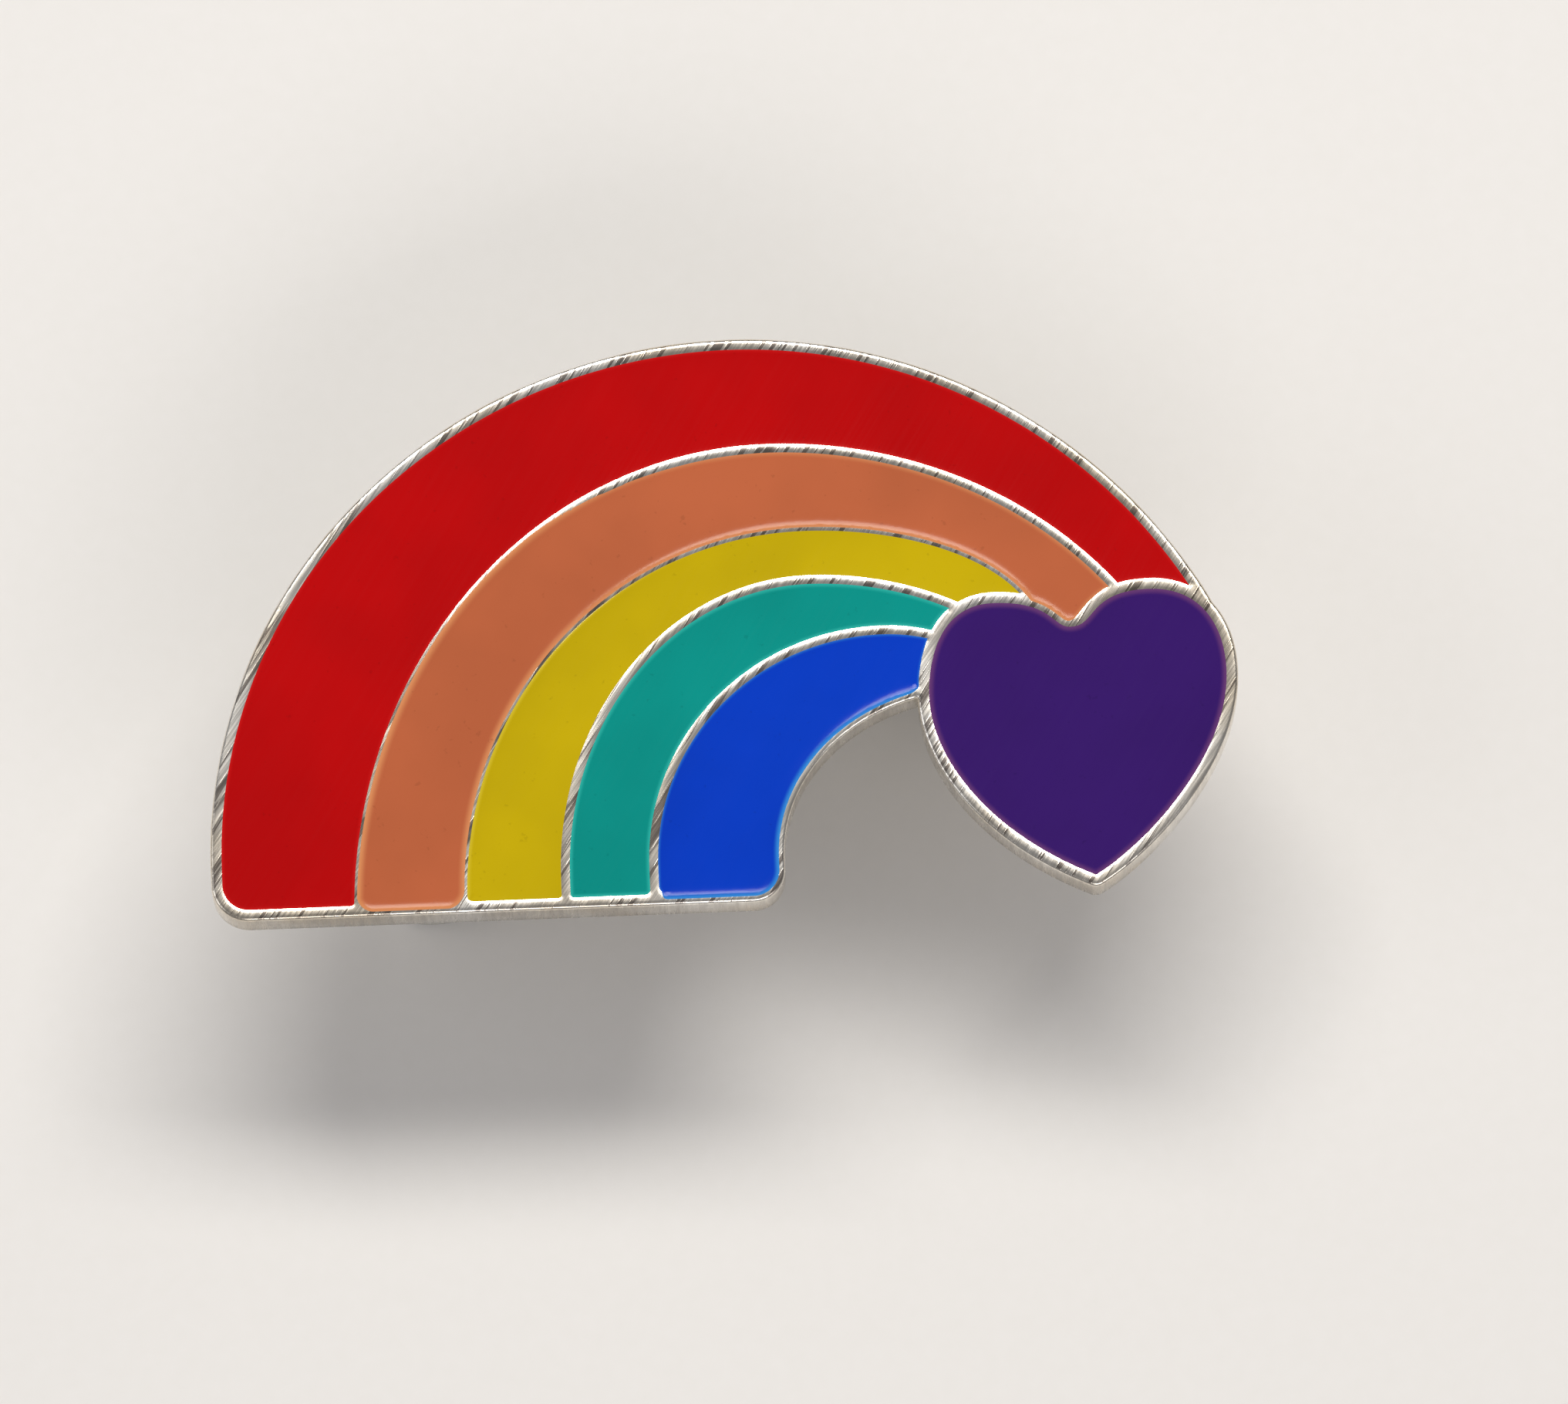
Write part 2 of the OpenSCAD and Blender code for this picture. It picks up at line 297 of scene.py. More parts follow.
# How far a colour runs over the metal: on its inner side, foot, left leg and heart end
SPILL = {"orange": (0.17, 0.2, 0.19, 0.06), "blue": (0.17, 0.17, 0.0, 0.03),
         "yellow": (0.0, 0.0, 0.03, 0.0)}
SIDE = 0.35         # where an outline faces this much along the arch's radius, it is a band's side
FOOT = 0.04         # its points within this of its lowest one are the foot
BLUR = 5            # the amounts blend into each other over this many points to each side
NO_SPILL = 0.01     # an enamel that runs over by less than this has no lip
SINK = 0.014        # how far the enamel sinks away from its walls
LIP, SWELL = 0.012, 0.017   # its edge where it runs over, and what it rises by from there
SLOPE = 0.16        # the width that the sinking and the lip's fall take
LIP_WIDTH = 0.05    # the width that the lip's rise takes
THROAT = 0.03       # the enamel leaves its cell's wall this far below the face to run over
PLAIN = 0.1         # what is added to its depth where it could run over and doesn't
CLEAR = 0.001       # keeps the enamel's faces off those of the plate
cells = {c: smooth_loop(cap_loops("enamel_" + c, face_z)[0], STEP) for c in ENAMEL}
outline = smooth_loop(cap_loops("badge_plate", 0)[0], STEP)
cell_tree = tree_of(list(cells.values()))
rim_tree = tree_of([outline], 0.008)


def metal_height(flat):
    """The height of the plate's face at each point: crowned lines and a rounded rim."""
    to_cell = np.minimum(distance(cell_tree, flat) / HALF_LINE, 1)
    to_rim = np.minimum(distance(rim_tree, flat), EDGE_R)
    crown = CROWN * (1 - (1 - to_cell) ** 2)
    drop = EDGE_R - np.sqrt(EDGE_R**2 - (EDGE_R - to_rim) ** 2)
    return face_z + crown - drop


def rows_inside(loops_and_ways, depths, trees):
    """Rows of points beside each loop, without those that come too near another edge."""
    seen, out = set(), []
    for depth in depths:
        for loop, way in loops_and_ways:
            row = loop + way * depth * normals(loop)
            near = np.min([distance(t, row) for t in trees], axis=0)
            for p, d in zip(row, near):
                key = (round(p[0] / APART), round(p[1] / APART))
                if d > depth * OWN and key not in seen:
                    seen.add(key)
                    out.append(p)
    return np.array(out)


def grid_in(loop, pitch, clear):
    """A triangular grid of points inside the loop that keeps clear of it."""
    low, high = loop.min(0), loop.max(0)
    xs, ys = np.arange(low[0], high[0], pitch), np.arange(low[1], high[1], pitch * ROW)
    points = np.array([(x + (k % 2) * pitch / 2, y) for k, y in enumerate(ys) for x in xs])
    points = points[inside(points, [loop])]
    return points[distance(tree_of([loop]), points) > clear]


def plate():
    """The struck plate, with its empty cells."""
    b = Build()
    loops = list(cells.values())
    tops = [b.ring(l, face_z) for l in loops]
    brink = b.ring(outline, face_z + CROWN - EDGE_R)
    inner = rows_inside([(l, 1) for l in loops] + [(outline, -1)],
                        (0.025, 0.06, 0.1, 0.17, 0.3), (cell_tree, rim_tree))
    near_rim = rows_inside([(outline, -1)], (0.008,), (rim_tree,))
    inner = np.vstack([near_rim, inner])
    inner = inner[inside(inner, [outline] + loops)]
    b.sheet([brink] + tops, inner, metal_height(inner))
    out = normals(outline)
    last = brink
    for inset, z in BACK_EDGE:
        flat = outline - inset * out
        ring = b.ring(flat, z)
        b.bridge(ring, last)
        last = ring
    # The points inside keep the smooth shading of the edge from spreading over the flat back
    rows = rows_inside([(flat, -1)], (0.03, 0.12), (rim_tree,))
    back = np.vstack([rows, grid_in(flat, pitch=1.1, clear=0.5)])
    b.sheet([last], back[inside(back, [flat])])
    for top, loop in zip(tops, loops):
        bed = b.ring(loop, floor_z)
        b.bridge(bed, top)
        b.sheet([bed])
    return b.piece("badge_metal", "badge", "badge_plate", "nickel")


def run_over(colour, loop):
    """How far the enamel runs over the metal at each point of its cell's outline, in mm."""
    inner, foot, left_leg, heart_end = SPILL.get(colour, (0, 0, 0, 0))
    way = normals(loop)
    radial = loop - ARCH_CENTRE
    radial /= np.linalg.norm(radial, axis=1)[:, None]
    facing = (radial * way).sum(1)      # 1 on the outer side of a band, -1 on its inner side
    far_left = np.clip((1 - loop[:, 0]) / 5, 0, 1)      # grows from 0 to 1 down the left leg
    amount = np.where(facing > SIDE, left_leg * far_left, np.where(facing < -SIDE, inner, heart_end))
    amount = np.where(loop[:, 1] < loop[:, 1].min() + FOOT, foot, amount)
    window = np.hanning(2 * BLUR + 1)
    window /= window.sum()
    return np.convolve(np.concatenate([amount[-BLUR:], amount, amount[:BLUR]]), window, "valid")


def enamel(colour):
    """The enamel of one cell. Its attribute edge_mm is small near its edge, where its material paints a
    lighter rim as a highlight; on the lips where it runs over, that rim also stands for the thin enamel.
    """
    cell = cells[colour]
    spill = run_over(colour, cell)
    most = max(spill.max(), 1e-6)
    loop = cell + spill[:, None] * normals(cell)
    tree = tree_of([loop])
    nearest = tree_of_points(loop)

    def share(points):
        """1 beside the places where the enamel runs over most, 0 where it doesn't."""
        if most < NO_SPILL:
            return np.zeros(len(points))
        return np.array([spill[nearest.find((p[0], p[1], 0))[1]] for p in points]) / most

    def height(points, depth):
        lip = LIP + SWELL * np.sin(np.minimum(depth / LIP_WIDTH, 1) * math.pi / 2)
        lip *= np.exp(-(np.maximum(depth - LIP_WIDTH, 0) / SLOPE) ** 2) * share(points)
        return face_z - CLEAR - SINK * (1 - np.exp(-depth / SLOPE)) + lip

    b = Build()
    top = b.ring(loop, height(loop, np.zeros(len(loop))))
    rows = rows_inside([(loop, -1)], (0.02, 0.05, 0.09, 0.14, 0.22, 0.36), (tree,))
    inner = np.vstack([rows, grid_in(loop, pitch=0.55, clear=0.5)])
    inner = inner[inside(inner, [loop])]
    depth = distance(tree, inner)
    b.sheet([top], inner, height(inner, depth))
    # An enamel that runs over counts as deeper where it doesn't, so that the painted highlight of its edge
    # stays faint there
    plain = 0.0 if most < NO_SPILL else PLAIN
    edge = list(plain * (1 - share(loop))) + list(depth + plain * (1 - share(inner)))
    throat = b.ring(cell, face_z - THROAT)
    b.bridge(throat, top)
    bed = b.ring(cell, floor_z + CLEAR)
    b.bridge(bed, throat)
    b.sheet([bed])
    edge += [0.0] * (len(b.points) - len(edge))
    name = "enamel_" + colour
    return b.piece(name + "_fill", "badge", name, name, 40, edge)


# ---- turned pieces ----

IN_PLATE = 0.1      # how far the pads and the braze reach into the plate
WINDOWS = (9, 3.3, 0.92)    # the block that cuts both windows of a shell
WINDOWS_DOWN = 3.17         # from the shell's top to the middle of its windows


def rounded(corners, radius, steps=4):
    """The corners as a row of points, each of them rounded. One with a radius of 0 stays."""
    out = []
    n = len(corners)
    for i in range(n):
        p = np.array(corners[i][:2], float)
        r = corners[i][2] if len(corners[i]) > 2 else radius
        a = np.array(corners[i - 1][:2], float) - p
        c = np.array(corners[(i + 1) % n][:2], float) - p
        la, lc = np.linalg.norm(a), np.linalg.norm(c)
        half = math.acos(max(-1, min(1, float(a @ c) / (la * lc)))) / 2
        if r == 0 or half > math.radians(88):
            out.append(p)
            continue
        back = min(r / math.tan(half), 0.45 * la, 0.45 * lc)
        s, e = p + a / la * back, p + c / lc * back
        for k in range(steps + 1):
            t = k / steps
            out.append((1 - t) ** 2 * s + 2 * t * (1 - t) * p + t * t * e)
    return out


def lathe(profile, centre, top, segments=112):
    """Turns a closed profile of (radius, depth below top) about a vertical axis."""
    b = Build()
    spin = np.linspace(0, 2 * math.pi, segments, endpoint=False)
    circle = np.column_stack([np.cos(spin), np.sin(spin)])
    rings = [b.ring(centre + circle * max(r, 0), top - d) for r, d in profile]
    for i in range(len(rings)):
        if profile[i][0] > 1e-6 or profile[i - 1][0] > 1e-6:
            b.bridge(rings[i - 1], rings[i])
    return b


def middle(node):
    """The middle of a CAD node seen from above, in mm."""
    low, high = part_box(node)
    return np.array([(low.x + high.x) / 2, (low.y + high.y) / 2]) / MM


def post(side):
    """A post on its pad. It has a groove for the wings behind its point."""
    node = "post_" + side
    low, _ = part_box(node)
    tip = -low.z / MM
    r, pad_r, groove_r = 0.55, 1.2, 0.43
    profile = rounded([
        (0, -IN_PLATE, 0), (pad_r, -IN_PLATE, 0), (pad_r, 0.3, 0.06), (r, 0.36, 0.1), (r, tip - 1.86, 0.04),
        (groove_r, tip - 1.72, 0.05), (groove_r, tip - 1.28, 0.05), (r, tip - 1.14, 0.05),
        (r, tip - 0.98, 0.12), (0.1, tip - 0.02, 0.04), (0, tip, 0)], 0.05)
    b = lathe(profile, middle(node), 0, 64)
    return b.piece(node + "_turned", "badge", node, "post_metal")


def solder(side):
    """The ring of braze round a post's pad, a little uneven."""
    node = "solder_" + side
    fillet = [(1.85 - 0.65 * math.sin(t), -IN_PLATE + 0.31 * (1 - math.cos(t)))
              for t in np.linspace(0.35, math.pi / 2, 9)]
    profile = [(1.1, -IN_PLATE), (1.8, -IN_PLATE)] + fillet + [(1.1, 0.2)]
    centre = middle(node)
    cx, cy = centre
    b = lathe(profile, centre, 0, 72)
    rng = np.random.default_rng(5 if side == "left" else 9)
    wave = rng.uniform(0, 6.28, 4)
    for i, (x, y, z) in enumerate(b.points):
        a = math.atan2(y - cy, x - cx)
        swell = 1 + 0.035 * sum(math.sin((k + 2) * a + w) for k, w in enumerate(wave)) / 2
        if z < 0.05:
            b.points[i] = (cx + (x - cx) * min(swell, 1.02), cy + (y - cy) * min(swell, 1.02), z)
    return b.piece(node + "_fillet", "badge", node, "solder", 50)


def shell(side):
    """A clutch's crown and flange. A window on each side lets a wing out."""
    node = f"clutch_{side}_shell"
    low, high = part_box(node)
    top, h = high.z / MM, (high.z - low.z) / MM
    profile = rounded([
        (4.12, 0, 0.08), (4.75, 0, 0.17), (4.75, 0.97, 0.1), (3.3, 0.97, 0.12), (3.3, h, 0.6),
        (0.75, h, 0.2), (0.6, h - 0.07, 0.15), (0, h - 0.07, 0), (0, h - 0.35, 0), (2.95, h - 0.35, 0.3),
        (2.95, 0.62, 0.1), (4.42, 0.62, 0.05), (4.42, 0.23, 0.05), (4.12, 0.23, 0.08)], 0.05, 6)
    b = lathe(profile, middle(node), top)
    mesh = bpy.data.meshes.new("window_tool")
    size = Vector(WINDOWS) * MM
    bm = bmesh.new()
    bmesh.ops.create_cube(bm, size=1, matrix=Matrix.Diagonal((*size, 1)))
    bmesh.ops.bevel(bm, geom=bm.edges[:], offset=0.15 * MM, segments=3, affect="EDGES")
    bm.to_mesh(mesh)
    bm.free()
    tool = bpy.data.objects.new("window_tool", mesh)
    scene.collection.objects.link(tool)
    cx, cy = middle(node)
    wing = middle(f"clutch_{side}_wing_upper") - middle(node)
    angle = math.atan2(wing[1], wing[0])
    tool.matrix_world = (Matrix.Translation(Vector((cx, cy, top - WINDOWS_DOWN)) * MM)
                         @ Matrix.Rotation(angle, 4, "Z"))
    obj = b.piece(node + "_pressed", "clutch_" + side, node, "clutch_nickel")
    cut = obj.modifiers.new("windows", "BOOLEAN")
    cut.object, cut.operation, cut.solver = tool, "DIFFERENCE", "EXACT"
    bpy.context.view_layer.update()
    done = bpy.data.meshes.new_from_object(obj.evaluated_get(bpy.context.evaluated_depsgraph_get()))
    obj.modifiers.clear()
    obj.data = done
    done.shade_smooth()
    done.set_sharp_from_angle(angle=math.radians(32))
    bpy.data.objects.remove(tool)
    return obj


def face_plate(side):
    """The pressed plate on the clutch's open side, with its hole drawn in."""
    node = f"clutch_{side}_face"
    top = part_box(node)[1].z / MM
    profile = rounded([
        (1.5, 0, 0.25), (4.0, 0, 0.1), (4.1, 0.25, 0.06), (4.4, 0.25, 0.03), (4.4, 0.6, 0.03),
        (3.9, 0.6, 0.1), (3.8, 0.35, 0.06), (1.7, 0.35, 0.2), (1.0, 1.1, 0.03), (0.7, 1.1, 0.03)], 0.05, 5)
    b = lathe(profile, middle(node), top)
    return b.piece(node + "_pressed", "clutch_" + side, node, "clutch_nickel")


def soften(node, width):
    """Rounds the edges of a CAD node that is kept."""
    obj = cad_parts[node]
    weld = obj.modifiers.new("weld", "WELD")
    weld.merge_threshold = 1e-7
    flat = obj.modifiers.new("flat", "DECIMATE")
    flat.decimate_type, flat.angle_limit = "DISSOLVE", math.radians(0.6)
    bevel = obj.modifiers.new("edges", "BEVEL")
    bevel.width, bevel.segments, bevel.limit_method = width, 3, "ANGLE"
    bevel.angle_limit = math.radians(40)
    bevel.use_clamp_overlap = True
    obj.data.shade_smooth()
    even = obj.modifiers.new("even", "WEIGHTED_NORMAL")
    even.keep_sharp = False
    return obj


WIRE_R = 0.17       # the spring's wire
BEND_Y = 0.9        # where its two arms meet its bend


def wire(path, radius, sides=16):
    """The points and faces of a wire along path. Its last end is rounded."""
    tip = (path[-1] - path[-2]).normalized()
    steps = [(at, 1.0) for at in path[:-1]]
    for angle in (math.radians(a) for a in (0, 30, 60, 80)):
        steps.append((path[-1] - tip * radius * (1 - math.sin(angle)), math.cos(angle)))
    points, faces = [], []
    for k, (at, share) in enumerate(steps):
        tangent = (steps[min(k + 1, len(steps) - 1)][0] - steps[max(k - 1, 0)][0]).normalized()
        across = tangent.cross(Vector((0, 0, 1))).normalized()
        other = across.cross(tangent)
        for j in range(sides):
            t = j / sides * 2 * math.pi
            points.append(at + (across * math.cos(t) + other * math.sin(t)) * radius * share)
        if k:
            a, b = (k - 1) * sides, k * sides
            faces += [(a + j, a + (j + 1) % sides, b + (j + 1) % sides, b + j) for j in range(sides)]
    faces += [tuple(range(sides)), tuple(range(len(points) - sides, len(points)))]
    return points, faces


def half_spring(side, level):
    """One arm of the hairpin spring and half of its bend."""
    node = f"clutch_{side}_spring"
    hub = middle(f"clutch_{side}_shell")
    wing = middle(f"clutch_{side}_wing_{level}") - hub
    turn = Matrix.Rotation(math.atan2(wing[1], wing[0]) + math.pi, 4, "Z")
    place = Matrix.Translation((*hub, 0)) @ turn
    cad = np.array([place.inverted() @ (v.co / MM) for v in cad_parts[node].data.vertices])
    low, high = cad.min(0), cad.max(0)
    mid_z = (low[2] + high[2]) / 2
    along = high[0] - WIRE_R
    arm = cad[cad[:, 0] > along - WIRE_R]
    rise = (arm[:, 2].min() + arm[:, 2].max()) / 2 - mid_z
    way, arm_end = (-1, high[1]) if abs(low[1]) > abs(high[1]) else (1, low[1])
    bend_r = math.hypot(along, rise)
    path = [Vector((math.sin(a) * along, way * (BEND_Y + math.cos(a) * bend_r), mid_z + math.sin(a) * rise))
            for a in np.linspace(0, math.pi / 2, 21)]
    path += [Vector((along, y, mid_z + rise)) for y in np.linspace(way * BEND_Y, arm_end, 10)[1:]]
    points, faces = wire(path, WIRE_R)
    mesh = bpy.data.meshes.new(node)
    mesh.from_pydata([(place @ p) * MM for p in points], [], faces)
    obj = settle(mesh, f"{node}_{level}_half", None, node, 50)
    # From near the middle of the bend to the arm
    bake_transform(obj)
    return obj


# ---- materials ----


class Look:
    """A procedural material. Its sizes are in mm."""

    def __init__(self, name, colour, metallic, roughness):
        self.material = bpy.data.materials.new(name)
        self.material.use_nodes = True
        self.tree = self.material.node_tree
        self.shader = self.tree.nodes["Principled BSDF"]
        self.shader.inputs["Metallic"].default_value = metallic
        self.shader.inputs["Roughness"].default_value = roughness
        self.shader.inputs["Base Color"].default_value = (*colour, 1)
        self.place = self.node("ShaderNodeTexCoord").outputs["Object"]

    def node(self, kind, links=None, **values):
        node = self.tree.nodes.new(kind)
        for key, value in values.items():
            if key[0].islower():
                setattr(node, key, value)
            else:
                node.inputs[key].default_value = value
        for key, source in (links or {}).items():
            self.tree.links.new(source, node.inputs[key])
        return node

    def noise(self, scale, detail=3, stretch=(1, 1, 1), turn=0.0):
        """Noise with about scale * stretch waves to a mm, its first axis turned by turn."""
        at = self.node("ShaderNodeMapping", {"Vector": self.place}, vector_type="TEXTURE",
                       Rotation=(0, 0, turn), Scale=tuple(MM / s for s in stretch))
        return self.node("ShaderNodeTexNoise", {"Vector": at.outputs[0]}, Scale=scale,
                         Detail=detail).outputs["Fac"]

    def ramp(self, source, *stops):
        """A ramp of (position, colour or grey) stops."""
        node = self.node("ShaderNodeValToRGB", {"Fac": source})
        while len(node.color_ramp.elements) < len(stops):
            node.color_ramp.elements.new(0.5)
        for element, (at, colour) in zip(node.color_ramp.elements, stops):
            element.position = at
            element.color = (*colour, 1) if len(np.atleast_1d(colour)) == 3 else (colour,) * 3 + (1,)
        return node.outputs["Color"]

    def mix(self, fac, a, b, kind="MIX"):
        node = self.node("ShaderNodeMix", data_type="RGBA", blend_type=kind)
        for socket, value in ((node.inputs["Factor"], fac), (node.inputs[6], a), (node.inputs[7], b)):
            if isinstance(value, bpy.types.NodeSocket):
                self.tree.links.new(value, socket)
            else:
                socket.default_value = value if isinstance(value, (int, float)) else (*value, 1)
        return node.outputs[2]

    def span(self, source, low, high, to_low, to_high):
        """Maps low..high to to_low..to_high."""
        return self.node("ShaderNodeMapRange", {"Value": source}, **{
            "From Min": low, "From Max": high, "To Min": to_low, "To Max": to_high}).outputs[0]

    def times(self, a, b):
        links = {0: a} if isinstance(b, (int, float)) else {0: a, 1: b}
        node = self.node("ShaderNodeMath", links, operation="MULTIPLY")
        if len(links) == 1:
            node.inputs[1].default_value = b
        return node.outputs[0]

    def bump(self, source, height, chain=None):
        """Relief of this height in mm, on top of the relief of chain."""
        links = {"Height": source}
        if chain is not None:
            links["Normal"] = chain
        return self.node("ShaderNodeBump", links, Strength=1.0, Distance=height * MM).outputs[0]

    def put(self, **sources):
        """Links sources to the shader's inputs. An underscore stands for a space."""
        for key, source in sources.items():
            self.tree.links.new(source, self.shader.inputs[key.replace("_", " ")])


def linear(r, g, b):
    """An sRGB colour of 255 as linear values."""
    return tuple((c / 255 / 12.92) if c < 10.3 else ((c / 255 + 0.055) / 1.055) ** 2.4
                 for c in (r, g, b))


TICKS = math.radians(57)    # the way the polishing marks run across the face
LOW, HIGH = 0.3, 0.7        # nearly all of a noise's values are between these


def nickel():
    """The plate: a polished face with crossing marks, drawn sides and a stippled back."""
    look = Look("polished_nickel", linear(228, 220, 206), 1.0, 0.2)
    normal = look.node("ShaderNodeTexCoord").outputs["Normal"]
    up = look.node("ShaderNodeSeparateXYZ", {"Vector": normal}).outputs["Z"]
    face = look.span(up, 0.7, 0.95, 0, 1)
    back = look.span(up, -0.7, -0.95, 0, 1)
    side = look.span(look.node("ShaderNodeMath", {0: up}, operation="ABSOLUTE").outputs[0], 0.7, 0.4, 0, 1)
    ticks = look.ramp(look.noise(1.0, 2, (0.25, 7.5, 1.0), TICKS), (0.4, 1.0), (0.46, 0.0))
    ticks = look.times(ticks, face)
    fine = look.noise(1.0, 3, (0.7, 20.0, 1.0), TICKS - 0.05)
    drawn = look.noise(1.0, 3, (7.0, 7.0, 0.5))
    stipple = look.noise(7.0, 3)
    cloud = look.noise(0.35, 3)
    tone = look.mix(look.span(cloud, 0.35, 0.65, 0, 1), linear(228, 216, 196), linear(252, 248, 240))
    tone = look.mix(look.times(ticks, 0.75), tone, linear(112, 98, 90))
    tone = look.mix(look.times(look.span(drawn, LOW, HIGH, 0.0, 0.5), side), tone, linear(176, 168, 158))
    tone = look.mix(look.times(look.span(stipple, LOW, HIGH, 0.0, 0.6), back), tone, linear(160, 154, 146))
    rough = look.mix(back, look.span(fine, LOW, HIGH, 0.19, 0.31), (0.42, 0.42, 0.42))
    bump = look.bump(ticks, 0.003)
    bump = look.bump(look.times(fine, face), 0.001, bump)
    bump = look.bump(look.times(drawn, side), 0.004, bump)
    bump = look.bump(look.times(stipple, back), 0.02, bump)
    look.put(Base_Color=tone, Roughness=rough, Normal=bump)
    return look.material


def enamel_look(name, body, edge, width):
    """Hard enamel: a painted highlight makes it lighter along its walls, which on the lips where it runs over
    also stands for the thin enamel, with faint polishing marks.
    """
    look = Look(name, body, 0.0, 0.2)
    distance_in = look.node("ShaderNodeAttribute", attribute_name="edge_mm").outputs["Fac"]
    # Painted highlight: within width of the wall the enamel takes the lighter edge colour; on the lips it
    # also stands for the thin enamel there
    rim_highlight_and_thin_lip = look.node("ShaderNodeMapRange", {"Value": distance_in}, interpolation_type="SMOOTHSTEP",
                     **{"From Max": width, "To Min": 1.0, "To Max": 0.0}).outputs[0]
    drift = look.noise(0.22, 3)
    deep = look.mix(look.span(drift, 0.35, 0.65, 0, 1), tuple(c * 0.93 for c in body),
                    tuple(min(1, c * 1.06) for c in body))
    tone = look.mix(rim_highlight_and_thin_lip, deep, edge)
    grit = look.ramp(look.noise(5.0, 2), (0.25, 1.0), (0.3, 0.0))
    tone = look.mix(look.span(grit, 0, 1, 0, 0.25), tone, tuple(c * 0.5 for c in body))
    marks = look.noise(1.0, 3, (0.3, 16.0, 1.0), TICKS)
    rough = look.span(marks, LOW, HIGH, 0.1, 0.16)
    bump = look.bump(look.noise(0.8, 2), 0.004)
    bump = look.bump(marks, 0.0006, bump)
    look.put(Base_Color=tone, Roughness=rough, Normal=bump)
    look.shader.inputs["Specular IOR Level"].default_value = 0.25
    return look.material


def plated(name, colour, roughness, brush=0.0008):
    """Plated or brazed metal with fine relief of height brush."""
    look = Look(name, colour, 1.0, roughness)
    grain = look.noise(3.0, 4)
    haze = look.noise(0.6, 3)
    fine = look.noise(1.0, 2, (1.0, 14.0, 4.0), 0.4)
    tone = look.mix(look.span(haze, LOW, HIGH, 0, 1), tuple(c * 0.92 for c in colour), colour)
    rough = look.span(grain, LOW, HIGH, roughness * 0.88, roughness * 1.15)
    bump = look.bump(grain, brush)
    bump = look.bump(fine, brush * 0.6, bump)
    look.put(Base_Color=tone, Roughness=rough, Normal=bump)
    return look.material


def wear(obj, material):
    """Gives an object this one material."""
    obj.data.materials.clear()
    obj.data.materials.append(material)


wear(plate(), nickel())
# The edge colours are painted highlights round the walls, and thin enamel on the lips
for colour, (body, edge, width) in ENAMEL.items():
    wear(enamel(colour), enamel_look("enamel_" + colour, linear(*body), linear(*edge), width))
clutch_look = plated("clutch_nickel", linear(206, 203, 194), 0.26)
wing_look = plated("wing_nickel", linear(212, 209, 201), 0.22)
post_look = plated("post_nickel", linear(210, 206, 196), 0.2)
solder_look = plated("braze", linear(166, 162, 154), 0.45, 0.01)
wire_look = plated("spring_wire", linear(124, 122, 118), 0.3)
for side in ("left", "right"):
    wear(post(side), post_look)
    wear(solder(side), solder_look)
    wear(shell(side), clutch_look)
    wear(face_plate(side), clutch_look)
    for level in ("upper", "lower"):
        wear(soften(f"clutch_{side}_wing_{level}", 0.07 * MM), wing_look)
        wear(half_spring(side, level), wire_look)

# ---- floor, light and camera ----

ground = cad_bounds[0][2] - 0.02 * MM    # clear of the clutches' crowns


def floor():
    """The pale sheet under the pin. It is no part of the pin."""
    mesh = bpy.data.meshes.new("floor")
    r = 0.6     # half its width in metres
    mesh.from_pydata([(-r, -r, ground), (r, -r, ground), (r, r, ground), (-r, r, ground)], [], [(0, 1, 2, 3)])
    obj = bpy.data.objects.new("floor", mesh)
    scene.collection.objects.link(obj)
    look = Look("pale_floor", linear(214, 212, 208), 0.0, 0.8)
    tone = look.mix(look.noise(2.0, 4), linear(230, 228, 224), linear(233, 231, 228))
    look.put(Base_Color=tone)
    wear(obj, look.material)
    return obj


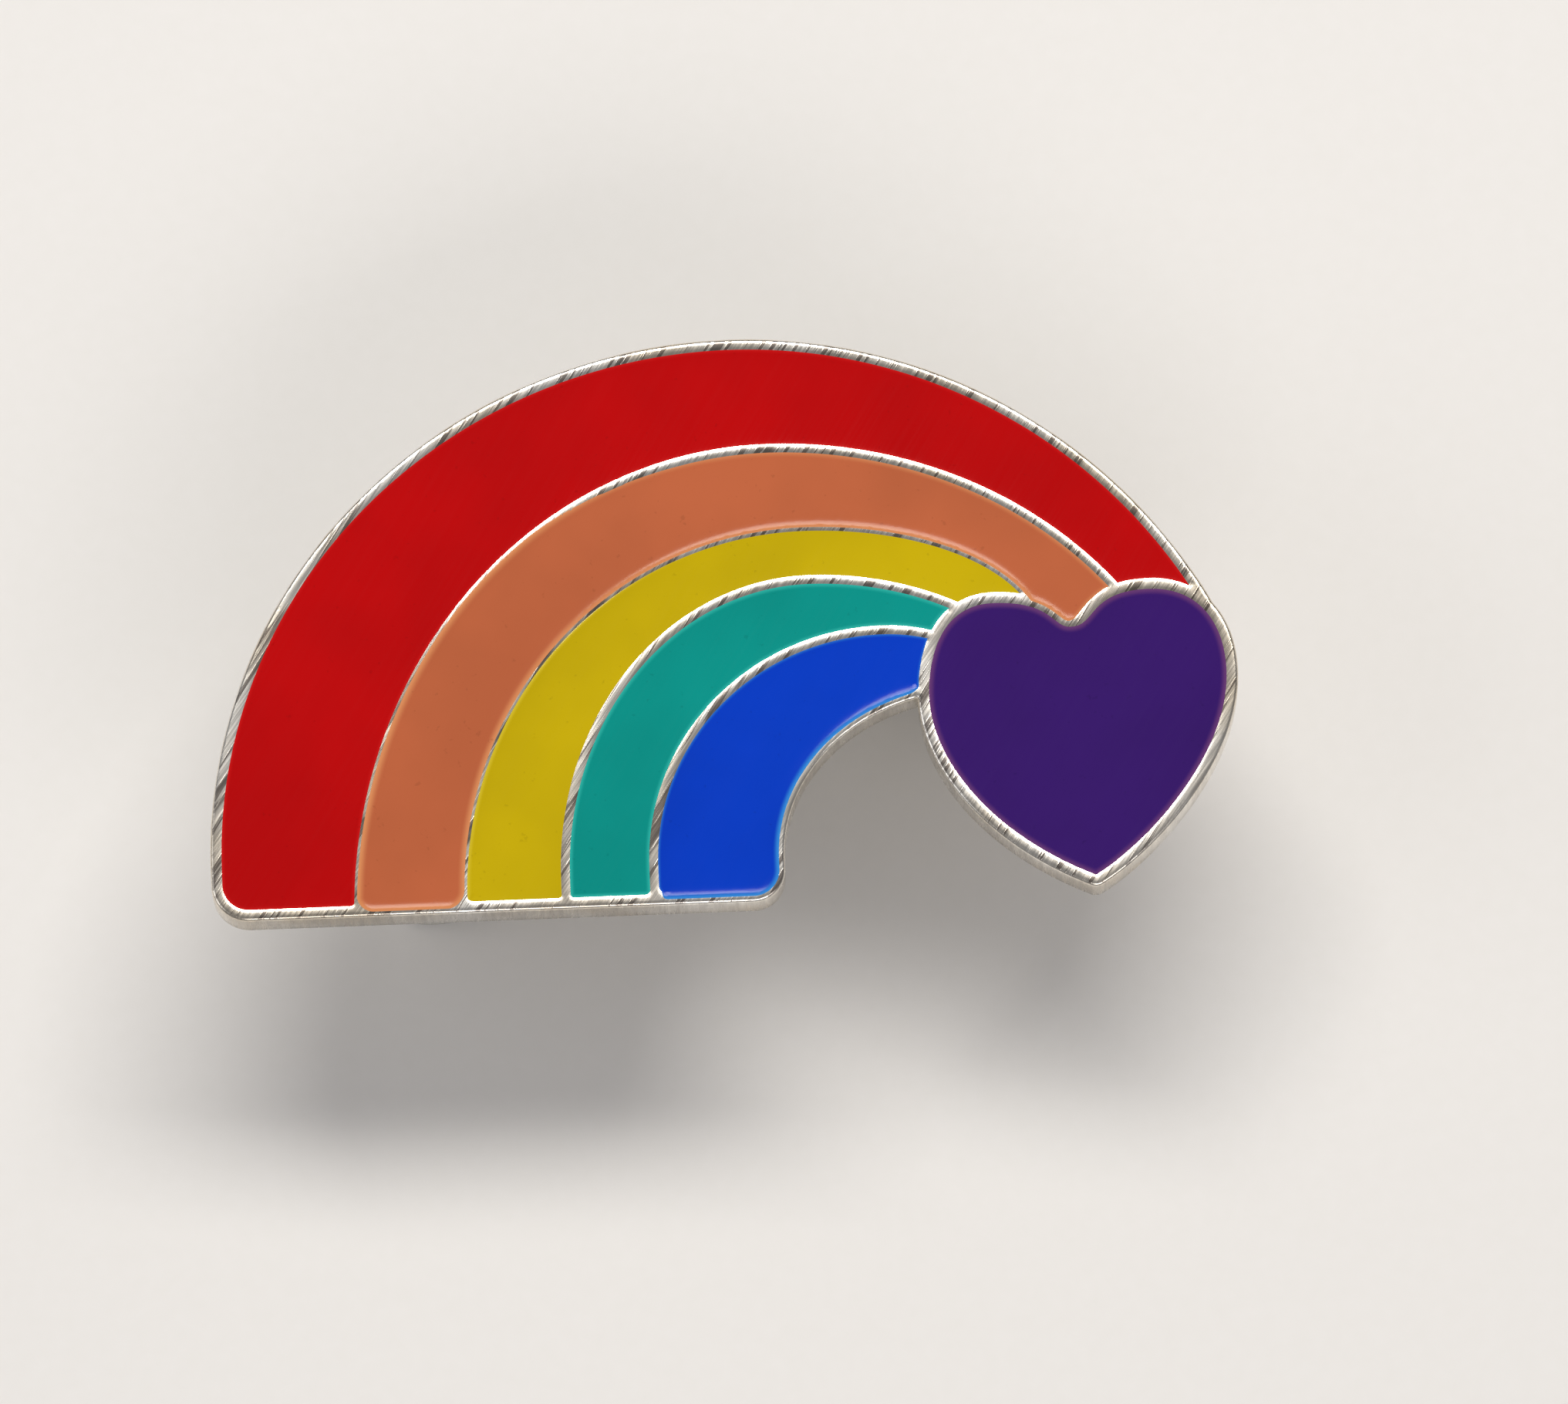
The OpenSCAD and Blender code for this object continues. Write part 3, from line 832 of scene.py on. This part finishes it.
def lamp(name, direction, reach, size, power, colour):
    """A rectangle of light that shines at the origin from this direction and distance in metres."""
    data = bpy.data.lights.new(name, "AREA")
    data.shape, data.size, data.size_y = "RECTANGLE", size[0], size[1]
    data.energy, data.color = power, colour
    obj = bpy.data.objects.new(name, data)
    scene.collection.objects.link(obj)
    at = Vector(direction).normalized() * reach
    obj.location = at
    obj.rotation_euler = at.to_track_quat("Z", "Y").to_euler()


# The floor rides on the left clutch, so that when that one is pulled off it takes the floor down with it and
# the floor doesn't hide it.
ground_sheet = floor()
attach(ground_sheet, "clutch_left")
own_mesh(ground_sheet)
lamp("key", (0.1, 0.66, 1.0), 0.42, (0.42, 0.12), 1.6, (1.0, 0.97, 0.93))
lamp("front", (0.35, -1.0, 0.95), 0.42, (0.36, 0.16), 0.5, (1.0, 0.96, 0.95))
lamp("fill", (-1.0, -0.1, 0.7), 0.4, (0.26, 0.26), 0.25, (0.95, 0.96, 1.0))
world = bpy.data.worlds.new("studio")
world.use_nodes = True
world.node_tree.nodes["Background"].inputs["Color"].default_value = (0.5, 0.5, 0.52, 1)
world.node_tree.nodes["Background"].inputs["Strength"].default_value = 0.36
scene.world = world
scene.view_settings.view_transform = "Standard"

TILT = math.radians(12)     # how far the camera stands off straight above, towards -Y
ROLL = math.radians(2.2)    # how far the picture is turned
LOOK_AT = Vector((3.05, -3.1, 1.5)) * MM
WIDTH = 46.07 * MM          # what the picture's width takes in at LOOK_AT
REACH = 0.6                 # from the camera to LOOK_AT, in metres
SENSOR = 36
camera_data = bpy.data.cameras.new("camera")
camera_data.sensor_width = SENSOR
camera_data.sensor_fit = "HORIZONTAL"
camera_data.lens = SENSOR * REACH / WIDTH
camera_data.clip_start, camera_data.clip_end = 0.01, 10
camera = bpy.data.objects.new("camera", camera_data)
scene.collection.objects.link(camera)
back = Vector((0, -math.sin(TILT), math.cos(TILT)))
up = Vector((0, math.cos(TILT), math.sin(TILT)))
right = Vector((1, 0, 0))
axes = (right * math.cos(ROLL) - up * math.sin(ROLL), right * math.sin(ROLL) + up * math.cos(ROLL), back)
turn = Matrix([list(a) for a in axes]).transposed()
camera.matrix_world = Matrix.Translation(LOOK_AT + back * REACH) @ turn.to_4x4()
scene.camera = camera
